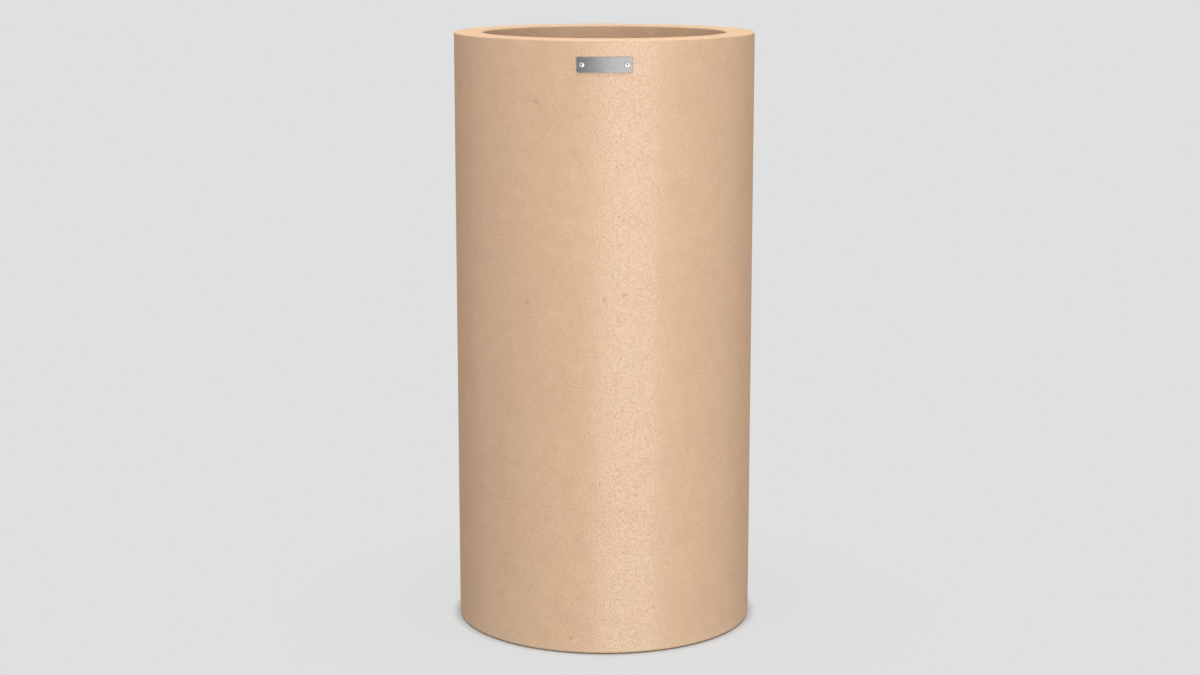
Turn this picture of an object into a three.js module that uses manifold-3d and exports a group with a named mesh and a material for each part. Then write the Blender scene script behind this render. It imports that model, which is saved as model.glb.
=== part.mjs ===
// A tall round fiberglass planter: a moulded shell with a broad flat rim, a base panel bonded in
// with glass tape, a rubber plug in the drain hole, four rubber feet, and a blank steel nameplate
// held by two blind rivets. Millimetres, +Z up. The origin is on the floor under the planter's
// axis, and the nameplate faces -Y.

import * as THREE from 'three';
import { mergeVertices } from 'three/addons/utils/BufferGeometryUtils.js';
import Module from 'manifold-3d';

const wasm = await Module();
wasm.setup();

// ---- Driving dimensions -----------------------------------------------------------------------

const planterHeight = 800;
const outerRadius = 200;
const wallThickness = 5;

const mouthRadius = 162;
const rimThickness = 6;
const rimOuterEdgeRadius = 2;
const rimInnerEdgeRadius = 2.5;
const lipDepth = 50;
const lipThickness = 5;
const lipEdgeRadius = 1;
const channelFilletRadius = 8;

const wallClearance = 1.5; // the wall's lower edge hangs this far above the floor
const bottomEdgeRadius = 2.5;
const bottomInnerChamfer = 1;

const baseRecess = 8.5; // from the wall's lower edge up to the base panel
const baseThickness = 8;
const baseEdgeChamfer = 1;
const drainRadius = 12.5;
const drainChamfer = 1;
const bareFloorMargin = 1; // between the bare floor inside and what stands on its edges

const tapeThickness = 2;
const tapeLegUpWall = 40;
const tapeLegOverBase = 40;
const tapeCornerRadius = 12;
const tapeEdgeTaper = 1;

const footCircleRadius = 150;
const footTopRadius = 13;
const footBottomRadius = 12;
const footEdgeRadius = 1.5;
const footTopEdge = 1;

const plugTopRadius = 12.2;
const plugTipRadius = 11.2;
const plugTipChamfer = 0.8;
const plugBelowBase = 4;
const plugFlangeRadius = 19;
const plugFlangeThickness = 3;
const plugFlangeEdge = 0.8;
const plugNeckRadius = 5;
const plugNeckFillet = 1;
const plugNeckHeight = 6;
const plugKnobRadius = 9;
const plugKnobHeight = 8;
const plugKnobEdge = 2.5;

const plateWidth = 70;
const plateHeight = 20;
const plateThickness = 1;
const plateCornerRadius = 1.2;
const plateBelowRim = 31; // from the rim's top down to the plate's centre

const rivetSpacing = 57;
const rivetHeadRadius = 3.4;
const rivetHeadHeight = 1.3;
const rivetHeadEdge = 0.25;
const rivetBoreLand = 0.2; // flat ring left round the bore at the top of the head
const rivetSleeveRadius = 1.6;
const rivetBoreRadius = 1.05;
const rivetBulgeRadius = 2.6;
const rivetBulgeLength = 3;
const rivetHoleRadius = 1.9;
const mandrelStemRadius = 0.75;
const mandrelStemRecess = 0.7; // the stem snaps off this far below the top of the head
const mandrelHeadRadius = 1.6;
const mandrelHeadLength = 2.2;
const mandrelTipRadius = 1.1;
const mandrelTipTaper = 0.9;

const seatGap = 0.3; // between pieces that are bonded, seated or clamped together

const wallSegments = 96;
const plateSegments = 288;
const smallSegments = 32;
const rivetSegments = 20;

// ---- Places worked out from them --------------------------------------------------------------

const innerRadius = outerRadius - wallThickness;
const lipOuterRadius = mouthRadius + lipThickness;
const baseBottom = wallClearance + baseRecess;
const baseTop = baseBottom + baseThickness;
const bondedRadius = innerRadius - seatGap;
const plateInnerRadius = outerRadius + seatGap;
const plateOuterRadius = plateInnerRadius + plateThickness;
const plateCentre = planterHeight - plateBelowRim;
const rivetAngle = Math.asin(rivetSpacing / 2 / plateOuterRadius);

// ---- Materials --------------------------------------------------------------------------------

const sandGelcoat = new THREE.MeshStandardMaterial({ color: 0xcba98c, roughness: 0.55, metalness: 0 });
const rawLaminate = new THREE.MeshStandardMaterial({ color: 0xb99c77, roughness: 0.7, metalness: 0 });
const glassTape = new THREE.MeshStandardMaterial({ color: 0xa98f69, roughness: 0.6, metalness: 0 });
const blackRubber = new THREE.MeshStandardMaterial({ color: 0x1d1d1e, roughness: 0.85, metalness: 0 });
const brushedSteel = new THREE.MeshStandardMaterial({ color: 0x9a9a9c, roughness: 0.35, metalness: 1 });
const rivetAluminium = new THREE.MeshStandardMaterial({ color: 0xd8d9db, roughness: 0.25, metalness: 1 });
const mandrelSteel = new THREE.MeshStandardMaterial({ color: 0x5c5d60, roughness: 0.45, metalness: 1 });

// ---- Shape helpers ----------------------------------------------------------------------------

// Profile points [radius, height] round an arc, from one angle to another in degrees.
function arc(centreRadius, centreHeight, radius, fromDegrees, toDegrees, steps) {
  const points = [];
  for (let i = 0; i <= steps; i += 1) {
    const angle = THREE.MathUtils.degToRad(fromDegrees + ((toDegrees - fromDegrees) * i) / steps);
    points.push([centreRadius + radius * Math.cos(angle), centreHeight + radius * Math.sin(angle)]);
  }
  return points;
}

// A solid turned about +Z from a profile that starts and ends on the axis.
function turnedSolid(profile, segments) {
  const points = profile.map(([radius, height]) => new THREE.Vector2(radius, height));
  return new THREE.LatheGeometry(points, segments).rotateX(Math.PI / 2);
}

// A ring turned about +Z from an outline that is closed back to its first point.
function turnedRing(outline, segments) {
  return turnedSolid([...outline, outline[0]], segments);
}

// A closed geometry as a solid that can be cut and joined.
function toSolid(geometry) {
  geometry.deleteAttribute('normal');
  geometry.deleteAttribute('uv');
  const merged = mergeVertices(geometry);
  const vertProperties = new Float32Array(merged.attributes.position.array);
  const triVerts = new Uint32Array(merged.index.array);
  return new wasm.Manifold(new wasm.Mesh({ numProp: 3, vertProperties, triVerts }));
}

function toGeometry(solid) {
  const mesh = solid.getMesh();
  const geometry = new THREE.BufferGeometry();
  geometry.setAttribute('position', new THREE.BufferAttribute(mesh.vertProperties, 3));
  geometry.setIndex(new THREE.BufferAttribute(mesh.triVerts, 1));
  geometry.computeVertexNormals();
  return geometry;
}

// A group whose +Z points straight out of the wall at a rivet, with z as the distance from the
// planter's axis. Side is -1 for the left rivet and 1 for the right, seen from the front.
function rivetFrame(side) {
  const frame = new THREE.Group();
  frame.rotation.order = 'ZYX';
  frame.rotation.set(Math.PI / 2, 0, side * rivetAngle);
  frame.position.z = plateCentre;
  return frame;
}

function rivetHole(side) {
  const frame = rivetFrame(side);
  frame.updateMatrix();
  const length = 4 * wallThickness;
  const drill = new THREE.CylinderGeometry(rivetHoleRadius, rivetHoleRadius, length, rivetSegments);
  drill.rotateX(Math.PI / 2).translate(0, 0, outerRadius).applyMatrix4(frame.matrix);
  return toSolid(drill);
}

function withRivetHoles(solid) {
  return solid.subtract(rivetHole(-1)).subtract(rivetHole(1));
}

// ---- Sub-parts --------------------------------------------------------------------------------

// One moulding: wall, flat rim and a lip turned down inside the mouth, with an open channel
// between the lip and the wall.
function shellGeometry() {
  const footArcCentre = [outerRadius - bottomEdgeRadius, wallClearance + bottomEdgeRadius];
  const outerArcCentre = [outerRadius - rimOuterEdgeRadius, planterHeight - rimOuterEdgeRadius];
  const innerArcCentre = [mouthRadius + rimInnerEdgeRadius, planterHeight - rimInnerEdgeRadius];
  const lipArcHeight = planterHeight - lipDepth + lipEdgeRadius;
  const filletHeight = planterHeight - rimThickness - channelFilletRadius;
  const outline = [
    ...arc(...footArcCentre, bottomEdgeRadius, -90, 0, 3),
    ...arc(...outerArcCentre, rimOuterEdgeRadius, 0, 90, 3),
    ...arc(...innerArcCentre, rimInnerEdgeRadius, 90, 180, 3),
    ...arc(mouthRadius + lipEdgeRadius, lipArcHeight, lipEdgeRadius, 180, 270, 1),
    ...arc(lipOuterRadius - lipEdgeRadius, lipArcHeight, lipEdgeRadius, 270, 360, 1),
    ...arc(lipOuterRadius + channelFilletRadius, filletHeight, channelFilletRadius, 180, 90, 3),
    ...arc(innerRadius - channelFilletRadius, filletHeight, channelFilletRadius, 90, 0, 3),
    [innerRadius, wallClearance + bottomInnerChamfer],
    [innerRadius + bottomInnerChamfer, wallClearance],
  ];
  return toGeometry(withRivetHoles(toSolid(turnedRing(outline, wallSegments))));
}

// A flat laminate disc with the drain hole through its middle. Its top is parted along two circles,
// so that the bare floor between the tape and the plug's flange has faces of its own.
function basePanelGeometry() {
  const outline = [
    [bondedRadius - baseEdgeChamfer, baseBottom],
    [bondedRadius, baseBottom + baseEdgeChamfer],
    [bondedRadius, baseTop - baseEdgeChamfer],
    [bondedRadius - baseEdgeChamfer, baseTop],
    [bondedRadius - tapeLegOverBase - bareFloorMargin, baseTop],
    [plugFlangeRadius + bareFloorMargin, baseTop],
    [drainRadius + drainChamfer, baseTop],
    [drainRadius, baseTop - drainChamfer],
    [drainRadius, baseBottom + drainChamfer],
    [drainRadius + drainChamfer, baseBottom],
  ];
  return turnedRing(outline, wallSegments);
}

// Wetted-out glass tape laid round the inside corner: one leg up the wall, one over the base.
function bondingTapeGeometry() {
  const underside = baseTop + seatGap;
  const face = bondedRadius - tapeThickness;
  const top = underside + tapeThickness;
  const outline = [
    [bondedRadius, underside],
    [bondedRadius, underside + tapeLegUpWall],
    [face, underside + tapeLegUpWall - tapeEdgeTaper],
    ...arc(face - tapeCornerRadius, top + tapeCornerRadius, tapeCornerRadius, 0, -90, 4),
    [bondedRadius - tapeLegOverBase + tapeEdgeTaper, top],
    [bondedRadius - tapeLegOverBase, underside],
  ];
  return turnedRing(outline, wallSegments);
}

// A tapered bung with a flange that seats on the base and a knob to pull it out by.
function drainPlugGeometry() {
  const flangeBottom = baseTop + seatGap;
  const flangeTop = flangeBottom + plugFlangeThickness;
  const neckTop = flangeTop + plugNeckHeight;
  const knobTop = neckTop + plugKnobHeight;
  const tip = baseBottom - plugBelowBase;
  const profile = [
    [0, tip],
    [plugTipRadius - plugTipChamfer, tip],
    [plugTipRadius, tip + plugTipChamfer],
    [plugTopRadius, flangeBottom],
    [plugFlangeRadius - plugFlangeEdge, flangeBottom],
    [plugFlangeRadius, flangeBottom + plugFlangeEdge],
    [plugFlangeRadius, flangeTop - plugFlangeEdge],
    [plugFlangeRadius - plugFlangeEdge, flangeTop],
    [plugNeckRadius + plugNeckFillet, flangeTop],
    [plugNeckRadius, flangeTop + plugNeckFillet],
    [plugNeckRadius, neckTop],
    [plugKnobRadius, neckTop + plugKnobEdge],
    ...arc(plugKnobRadius - plugKnobEdge, knobTop - plugKnobEdge, plugKnobEdge, 0, 90, 3),
    [0, knobTop],
  ];
  return turnedSolid(profile, smallSegments);
}

// A round rubber pad that stands on the floor and holds the wall's edge clear of it.
function footGeometry() {
  const height = baseBottom - seatGap;
  const profile = [
    [0, 0],
    ...arc(footBottomRadius - footEdgeRadius, footEdgeRadius, footEdgeRadius, -90, 0, 2),
    [footTopRadius, height - footTopEdge],
    [footTopRadius - footTopEdge, height],
    [0, height],
  ];
  return turnedSolid(profile, smallSegments);
}

// A thin oblong plate with small round corners, rolled to the wall's curve.
function nameplateGeometry() {
  const x = plateWidth / 2;
  const y = plateHeight / 2;
  const r = plateCornerRadius;
  const oblong = new THREE.Shape();
  oblong.absarc(x - r, y - r, r, 0, Math.PI / 2);
  oblong.absarc(-x + r, y - r, r, Math.PI / 2, Math.PI);
  oblong.absarc(-x + r, -y + r, r, Math.PI, 1.5 * Math.PI);
  oblong.absarc(x - r, -y + r, r, 1.5 * Math.PI, 2 * Math.PI);
  const depth = outerRadius;
  const block = new THREE.ExtrudeGeometry(oblong, { depth, bevelEnabled: false, curveSegments: 3 });
  block.translate(0, 0, depth / 2).rotateX(Math.PI / 2).translate(0, 0, plateCentre);
  const sheet = turnedRing([
    [plateInnerRadius, plateCentre - plateHeight],
    [plateOuterRadius, plateCentre - plateHeight],
    [plateOuterRadius, plateCentre + plateHeight],
    [plateInnerRadius, plateCentre + plateHeight],
  ], plateSegments);
  return toGeometry(withRivetHoles(toSolid(sheet).intersect(toSolid(block))));
}

// A blind rivet after setting: a domed head outside, a hollow sleeve through plate and wall, and
// a bulge gripping the wall inside. Heights are distances from the planter's axis.
function rivetGeometry() {
  const seat = plateOuterRadius + seatGap;
  const headTop = seat + rivetHeadHeight;
  const grip = innerRadius - seatGap;
  const end = grip - rivetBulgeLength;
  const outline = [
    [rivetBoreRadius, end],
    [rivetSleeveRadius, end],
    [rivetBulgeRadius, grip - rivetBulgeLength / 2],
    [rivetBulgeRadius, grip - rivetBulgeLength / 4],
    [rivetSleeveRadius, grip],
    [rivetSleeveRadius, seat],
    [rivetHeadRadius, seat],
    [rivetHeadRadius, seat + rivetHeadEdge],
    ...domeOutline(seat + rivetHeadEdge, headTop),
    [rivetBoreRadius, headTop - rivetHeadEdge],
  ];
  return turnedRing(outline, rivetSegments);
}

// The head's dome, from just inside its rim up to the edge of the bore.
function domeOutline(bottom, top) {
  const points = [];
  const steps = 4;
  const landRadius = rivetBoreRadius + rivetBoreLand;
  for (let i = 1; i <= steps; i += 1) {
    const radius = rivetHeadRadius + ((landRadius - rivetHeadRadius) * i) / steps;
    const share = Math.sqrt(1 - (radius / rivetHeadRadius) ** 2);
    points.push([radius, bottom + (top - bottom) * share]);
  }
  return points;
}

// The rivet's pulling pin: the snapped stem inside the sleeve and the head that closed the bulge.
function mandrelGeometry() {
  const headTop = plateOuterRadius + seatGap + rivetHeadHeight;
  const sleeveEnd = innerRadius - seatGap - rivetBulgeLength;
  const shoulder = sleeveEnd - seatGap;
  const tip = shoulder - mandrelHeadLength;
  const profile = [
    [0, tip],
    [mandrelTipRadius, tip],
    [mandrelHeadRadius, tip + mandrelTipTaper],
    [mandrelHeadRadius, shoulder],
    [mandrelStemRadius, shoulder],
    [mandrelStemRadius, headTop - mandrelStemRecess],
    [0, headTop - mandrelStemRecess],
  ];
  return turnedSolid(profile, rivetSegments);
}

// ---- Assembly ---------------------------------------------------------------------------------

const planter = new THREE.Group();

function addPiece(parent, name, geometry, material) {
  const mesh = new THREE.Mesh(geometry, material);
  mesh.name = name;
  parent.add(mesh);
  return mesh;
}

addPiece(planter, 'shell', shellGeometry(), sandGelcoat);
addPiece(planter, 'base_panel', basePanelGeometry(), rawLaminate);
addPiece(planter, 'base_bonding_tape', bondingTapeGeometry(), glassTape);
addPiece(planter, 'drain_plug', drainPlugGeometry(), blackRubber);

const footSides = { front_left: [-1, -1], front_right: [1, -1], back_left: [-1, 1], back_right: [1, 1] };
const footOffset = footCircleRadius * Math.SQRT1_2;
for (const [side, [signX, signY]] of Object.entries(footSides)) {
  const foot = addPiece(planter, `foot_${side}`, footGeometry(), blackRubber);
  foot.position.set(signX * footOffset, signY * footOffset, 0);
}

addPiece(planter, 'nameplate', nameplateGeometry(), brushedSteel);

const rivetSides = { left: -1, right: 1 };
for (const [side, sign] of Object.entries(rivetSides)) {
  const frame = rivetFrame(sign);
  addPiece(frame, `rivet_${side}`, rivetGeometry(), rivetAluminium);
  addPiece(frame, `rivet_mandrel_${side}`, mandrelGeometry(), mandrelSteel);
  planter.add(frame);
}

export default planter;
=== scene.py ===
import math

import bmesh
import bpy
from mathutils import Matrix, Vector


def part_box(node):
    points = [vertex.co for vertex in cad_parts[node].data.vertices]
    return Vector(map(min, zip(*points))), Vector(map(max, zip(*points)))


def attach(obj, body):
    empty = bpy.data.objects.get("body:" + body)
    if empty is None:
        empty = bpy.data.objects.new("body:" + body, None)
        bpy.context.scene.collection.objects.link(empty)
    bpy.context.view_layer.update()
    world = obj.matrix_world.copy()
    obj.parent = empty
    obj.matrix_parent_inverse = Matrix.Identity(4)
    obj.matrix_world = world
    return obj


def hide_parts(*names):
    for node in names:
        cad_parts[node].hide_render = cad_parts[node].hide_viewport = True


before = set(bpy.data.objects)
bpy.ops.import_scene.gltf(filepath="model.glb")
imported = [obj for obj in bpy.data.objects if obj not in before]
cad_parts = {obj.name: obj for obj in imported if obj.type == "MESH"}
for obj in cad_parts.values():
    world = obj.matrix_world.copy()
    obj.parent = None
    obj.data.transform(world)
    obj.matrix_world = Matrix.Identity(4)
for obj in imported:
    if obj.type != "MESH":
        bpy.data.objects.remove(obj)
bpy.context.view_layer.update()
print("frame loaded:", len(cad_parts), "nodes")


# node trees are written with these few helpers

def addNode(tree, kind, inputs=None, **settings):
    node = tree.nodes.new(kind)
    for name, value in settings.items():
        setattr(node, name, value)
    for key, value in (inputs or {}).items():
        if isinstance(value, bpy.types.NodeSocket):
            tree.links.new(value, node.inputs[key])
        else:
            node.inputs[key].default_value = value
    return node


def calc(tree, operation, a, b=0.0):
    return addNode(tree, "ShaderNodeMath", {0: a, 1: b}, operation=operation).outputs[0]


def remap(tree, value, low, high, toLow=0.0, toHigh=1.0):
    inputs = {0: value, 1: low, 2: high, 3: toLow, 4: toHigh}
    return addNode(tree, "ShaderNodeMapRange", inputs, interpolation_type="SMOOTHSTEP").outputs[0]


def stretch(tree, vector, scale, turn=(0, 0, 0)):
    inputs = {"Vector": vector, "Scale": scale, "Rotation": [math.radians(angle) for angle in turn]}
    return addNode(tree, "ShaderNodeMapping", inputs).outputs[0]


def noise(tree, vector, scale, detail, seed, roughness=0.5):
    # this runs from 0 to 1 and is mostly near 0.5
    inputs = {"Vector": vector, "W": seed, "Scale": scale, "Detail": detail, "Roughness": roughness}
    return addNode(tree, "ShaderNodeTexNoise", inputs, noise_dimensions="4D").outputs[0]


def blend(tree, factor, first, second):
    return addNode(tree, "ShaderNodeMix", {0: factor, 6: first, 7: second}, data_type="RGBA").outputs[2]


def layTone(tree, color, tone, mask, share):
    return blend(tree, calc(tree, "MULTIPLY", mask, share), color, tone)


def tint(red, green, blue):
    return (red, green, blue, 1.0)


weldDistance = 1e-6
seatGap = 0.0003                # bonded, seated and riveted pieces stand this far apart in the CAD
hair = 0.0001                   # the slack when two lengths are compared
noiseSpan = (0.3, 0.7)          # nearly all that noise gives lies between these
noiseCore = (0.35, 0.65)        # and most of it between these


# camera

camera = {
    "distance": 3.0334,  # in front of the planter's axis
    "height": 0.9634,
    "side": -0.0057,
    "downTilt": 10.797,
    "lens": 67.875,
    "clip": (0.05, 60),
}


def makeCamera():
    data = bpy.data.cameras.new("studioCamera")
    data.lens = camera["lens"]
    data.clip_start, data.clip_end = camera["clip"]
    holder = bpy.data.objects.new("studioCamera", data)
    holder.location = (camera["side"], -camera["distance"], camera["height"])
    holder.rotation_euler = (math.radians(90 - camera["downTilt"]), 0, 0)
    bpy.context.scene.collection.objects.link(holder)
    bpy.context.scene.camera = holder


makeCamera()
print("camera set")


# materials

def startMaterial(name, metallic=0.0, anisotropic=0.0, sheen=0.0):
    material = bpy.data.materials.new(name)
    material.use_nodes = True
    tree = material.node_tree
    shader = tree.nodes["Principled BSDF"]
    shader.inputs["Metallic"].default_value = metallic
    shader.inputs["IOR"].default_value = 1.5
    shader.inputs["Specular IOR Level"].default_value = 0.5
    shader.inputs["Anisotropic"].default_value = anisotropic
    shader.inputs["Sheen Weight"].default_value = sheen
    place = addNode(tree, "ShaderNodeTexCoord").outputs["Object"]
    return material, tree, place


def finishMaterial(material, color, roughness, height, depth):
    tree = material.node_tree
    shader = tree.nodes["Principled BSDF"]
    tree.links.new(color, shader.inputs["Base Color"])
    tree.links.new(roughness, shader.inputs["Roughness"])
    bump = addNode(tree, "ShaderNodeBump", {"Height": height, "Distance": depth})
    tree.links.new(bump.outputs[0], shader.inputs["Normal"])
    return material


def readAttribute(tree, name):
    return addNode(tree, "ShaderNodeAttribute", attribute_name=name)


gelcoat = {
    "sand": tint(0.647, 0.432, 0.270),
    "blush": tint(0.647, 0.416, 0.266),     # the warmer of the two cloudy tones
    "paleGrain": tint(0.745, 0.525, 0.35),
    "darkGrain": tint(0.525, 0.34, 0.205),
    "edgeTone": tint(0.665, 0.47, 0.315),
    "spotTone": tint(0.34, 0.215, 0.13),
    "cloudLevels": (0.38, 0.62),            # the noise at which a tone starts and at which it is full
    "paleLevels": (0.5, 0.8),
    "darkLevels": (0.5, 0.2),
    "fleckLevels": (0.5, 0.66),
    "grainLevels": (0.48, 0.3),
    "scuffPatchLevels": (0.5, 0.62),
    "smearLevels": (0.5, 0.72),
    "fleckShare": 0.34,                     # how much of each tone is laid over the sand
    "grainShare": 0.4,
    "palePatches": 0.45,
    "darkPatches": 0.38,
    "spotShare": 0.6,
    "scuffShare": 0.25,
    "edgeShare": 0.5,
    "grainScale": 340,                      # grains to the metre, and so with every other scale
    "fleckScale": 425,
    "grainDepth": 0.00034,
    "grainSheen": 0.22,                     # how much the sheen changes from grain to grain
    "grainSheenLevels": (0.4, 0.6),
    "grainRange": (0.55, 1.5),              # it is coarser in some places than in others
    "rangeScale": 38,
    "mottleScale": 45,                      # the uneven tone and sheen under the grain
    "mottleHeight": 0.2,
    "cloudScale": 13,
    "spotSpacing": 0.055,
    "spotRadius": 0.0045,
    "spotCore": 0.15,                       # the share of its radius that is fully dark
    "spotDent": 0.4,
    "scuffScale": 7,
    "scuffWidth": 0.0022,
    "scuffPatchScale": 9,
    "smearScale": (9, 9, 17),
    "smearLean": (0, 28, 0),
    "roughness": 0.32,
    "unevenSheen": 0.08,
    "grazingDull": 0.55,
    "grazingUneven": 0.1,                   # how much of the sheen's unevenness a low angle leaves
    "evenFrom": (0.25, 0.5),                # 0 is a straight look at the surface and 1 is a look along it
    "dullFrom": (0.3, 0.7),
}


def makeGelcoat():
    g = gelcoat
    material, tree, place = startMaterial("sandGelcoat")
    grain = noise(tree, place, g["grainScale"], detail=1.0, seed=1.0)
    fleck = remap(tree, noise(tree, place, g["fleckScale"], detail=0.0, seed=18.0), *g["fleckLevels"])
    mottle = noise(tree, place, g["mottleScale"], detail=4.0, roughness=0.62, seed=2.0)
    cloud = noise(tree, place, g["cloudScale"], detail=2.0, roughness=0.55, seed=3.0)
    color = blend(tree, remap(tree, cloud, *g["cloudLevels"]), g["sand"], g["blush"])
    color = blend(tree, remap(tree, mottle, *g["paleLevels"], 0.0, g["palePatches"]), color, g["paleGrain"])
    color = blend(tree, remap(tree, mottle, *g["darkLevels"], 0.0, g["darkPatches"]), color, g["darkGrain"])
    color = layTone(tree, color, g["paleGrain"], fleck, g["fleckShare"])
    color = blend(tree, remap(tree, grain, *g["grainLevels"], 0.0, g["grainShare"]), color, g["darkGrain"])
    # a few soft dark spots, each with a small dent
    cells = {"Vector": place, "Scale": 1 / g["spotSpacing"]}
    toSpot = addNode(tree, "ShaderNodeTexVoronoi", cells).outputs["Distance"]
    spotSize = g["spotRadius"] / g["spotSpacing"]
    spot = remap(tree, toSpot, spotSize, spotSize * g["spotCore"])
    color = layTone(tree, color, g["spotTone"], spot, g["spotShare"])
    # hairline scuffs, only in a few patches
    level = noise(tree, place, g["scuffScale"], detail=3.0, roughness=0.45, seed=4.0)
    line = calc(tree, "ABSOLUTE", calc(tree, "SUBTRACT", level, 0.5))
    patch = noise(tree, place, g["scuffPatchScale"], detail=0.0, seed=5.0)
    patch = remap(tree, patch, *g["scuffPatchLevels"])
    scuff = calc(tree, "MULTIPLY", remap(tree, line, g["scuffWidth"], 0.0), patch)
    color = layTone(tree, color, g["darkGrain"], scuff, g["scuffShare"])
    edge = readAttribute(tree, "edge").outputs["Fac"]
    color = layTone(tree, color, g["edgeTone"], edge, g["edgeShare"])
    # the sheen is uneven: flecks are glossier, and slanting patches have been rubbed dull
    leaning = stretch(tree, place, g["smearScale"], g["smearLean"])
    smear = noise(tree, leaning, 1.0, detail=3.0, roughness=0.55, seed=16.0)
    smear = remap(tree, smear, *g["smearLevels"])
    uneven = calc(tree, "ADD", smear, remap(tree, mottle, *noiseCore, -1.0, 1.0))
    uneven = calc(tree, "SUBTRACT", calc(tree, "ADD", uneven, scuff), fleck)
    uneven = calc(tree, "MULTIPLY", uneven, g["unevenSheen"])
    grainSheen = remap(tree, grain, *g["grainSheenLevels"], g["grainSheen"], -g["grainSheen"])
    uneven = calc(tree, "ADD", uneven, grainSheen)
    # at a low angle the grain hides its own sheen, which gets duller and more even
    facing = addNode(tree, "ShaderNodeLayerWeight").outputs["Facing"]
    evenness = remap(tree, facing, *g["evenFrom"], 1.0, g["grazingUneven"])
    uneven = calc(tree, "MULTIPLY", uneven, evenness)
    roughness = calc(tree, "ADD", uneven, g["roughness"])
    roughness = calc(tree, "ADD", roughness, remap(tree, facing, *g["dullFrom"], 0.0, g["grazingDull"]))
    coarse = noise(tree, place, g["rangeScale"], detail=1.0, seed=17.0)
    height = calc(tree, "MULTIPLY", grain, remap(tree, coarse, *noiseCore, *g["grainRange"]))
    height = calc(tree, "ADD", height, calc(tree, "MULTIPLY", mottle, g["mottleHeight"]))
    height = calc(tree, "SUBTRACT", height, calc(tree, "MULTIPLY", spot, g["spotDent"]))
    return finishMaterial(material, color, roughness, height, g["grainDepth"])


laminate = {
    "resin": tint(0.46, 0.33, 0.2),
    "strand": tint(0.62, 0.49, 0.34),
    "dry": tint(0.72, 0.62, 0.48),
    "strandWidth": 0.0022,
    "strandLength": 0.045,
    "strandDepth": 0.0005,
    "layDirections": (12, 58, 103, 151),
    "resinScale": 22,
    "resinHeight": 1.5,     # how far pools of resin stand out, beside the strands
    "strandLevels": (0.5, 0.68),
    "dryLevels": (0.55, 0.75),
    "dryShare": 0.5,
    "roughLevels": (0.3, 1.6),      # strands and resin together
    "roughness": (0.42, 0.78),
}


def strandLayers(tree, flat):
    # chopped strands lie every way: each layer is noise drawn out along its own direction
    scale = (1 / laminate["strandLength"], 1 / laminate["strandWidth"], 1 / laminate["strandLength"])
    total = 0.0
    for i, direction in enumerate(laminate["layDirections"]):
        lay = stretch(tree, flat, (1, 1, 1), (0, 0, direction))
        strand = noise(tree, stretch(tree, lay, scale), 1.0, detail=1.0, roughness=0.4, seed=10.0 + i)
        total = calc(tree, "MAXIMUM", total, remap(tree, strand, *laminate["strandLevels"]))
    return total


def makeLaminate():
    material, tree, place = startMaterial("rawLaminate")
    flat = readAttribute(tree, "laidFlat").outputs["Vector"]
    strands = strandLayers(tree, flat)
    resin = noise(tree, place, laminate["resinScale"], detail=2.0, roughness=0.55, seed=6.0)
    color = blend(tree, strands, laminate["resin"], laminate["strand"])
    dryness = remap(tree, resin, *laminate["dryLevels"], 0.0, laminate["dryShare"])
    color = blend(tree, dryness, color, laminate["dry"])
    both = calc(tree, "ADD", strands, resin)
    roughness = remap(tree, both, *laminate["roughLevels"], *laminate["roughness"])
    height = calc(tree, "ADD", strands, calc(tree, "MULTIPLY", resin, laminate["resinHeight"]))
    return finishMaterial(material, color, roughness, height, laminate["strandDepth"])


cloth = {
    "resin": tint(0.36, 0.25, 0.13),
    "yarn": tint(0.55, 0.43, 0.27),
    "yarnSpacing": 0.0045,
    "yarnDepth": 0.0005,
    "yarnRoundness": 0.45,      # lower is flatter
    "wobble": 0.6,              # how far yarns stray, in radians of the weave
    "wobbleScale": 60,
    "sideLevels": (-0.25, 0.25),
    "sideTone": (0.35, 1.0),    # how pale a yarn is where it is under, and where it is on top
    "wetScale": 35,
    "wetLevels": (0.5, 0.75),
    "wetShare": 0.4,
    "roughLevels": (0.4, 1.5),  # weave and wetness together
    "roughness": (0.3, 0.6),
}


def makeTapeCloth():
    # plain weave: yarns along and across take turns on top
    material, tree, place = startMaterial("glassCloth")
    flat = addNode(tree, "ShaderNodeSeparateXYZ", {0: readAttribute(tree, "laidFlat").outputs["Vector"]})
    stray = noise(tree, place, cloth["wobbleScale"], detail=1.0, seed=7.0)
    stray = calc(tree, "MULTIPLY", calc(tree, "SUBTRACT", stray, 0.5), cloth["wobble"])
    waves = []
    for axis in (0, 1):
        run = calc(tree, "MULTIPLY", flat.outputs[axis], math.pi / cloth["yarnSpacing"])
        waves.append(calc(tree, "SINE", calc(tree, "ADD", run, stray)))
    sides = calc(tree, "MULTIPLY", *waves)      # its sign says which yarn is on top
    weave = calc(tree, "POWER", calc(tree, "ABSOLUTE", sides), cloth["yarnRoundness"])
    tone = remap(tree, sides, *cloth["sideLevels"], *cloth["sideTone"])
    wet = noise(tree, place, cloth["wetScale"], detail=2.0, seed=8.0)
    color = layTone(tree, cloth["resin"], cloth["yarn"], weave, tone)
    wetness = remap(tree, wet, *cloth["wetLevels"], 0.0, cloth["wetShare"])
    color = blend(tree, wetness, color, cloth["resin"])
    both = calc(tree, "ADD", weave, wet)
    roughness = remap(tree, both, *cloth["roughLevels"], *cloth["roughness"])
    return finishMaterial(material, color, roughness, weave, cloth["yarnDepth"])


rubber = {
    "black": tint(0.018, 0.018, 0.019),
    "bloom": tint(0.055, 0.055, 0.053),     # the grey film on old rubber
    "edgeShare": 0.5,
    "dustScale": 70,
    "dustLevels": (0.42, 0.72),
    "dustDulls": (-0.08, 0.12),             # what clean and dusty rubber add to the roughness
    "sheen": 0.05,
    "roughness": 0.62,
    "grainScale": 900,
    "grainDepth": 0.00008,
}


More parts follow.
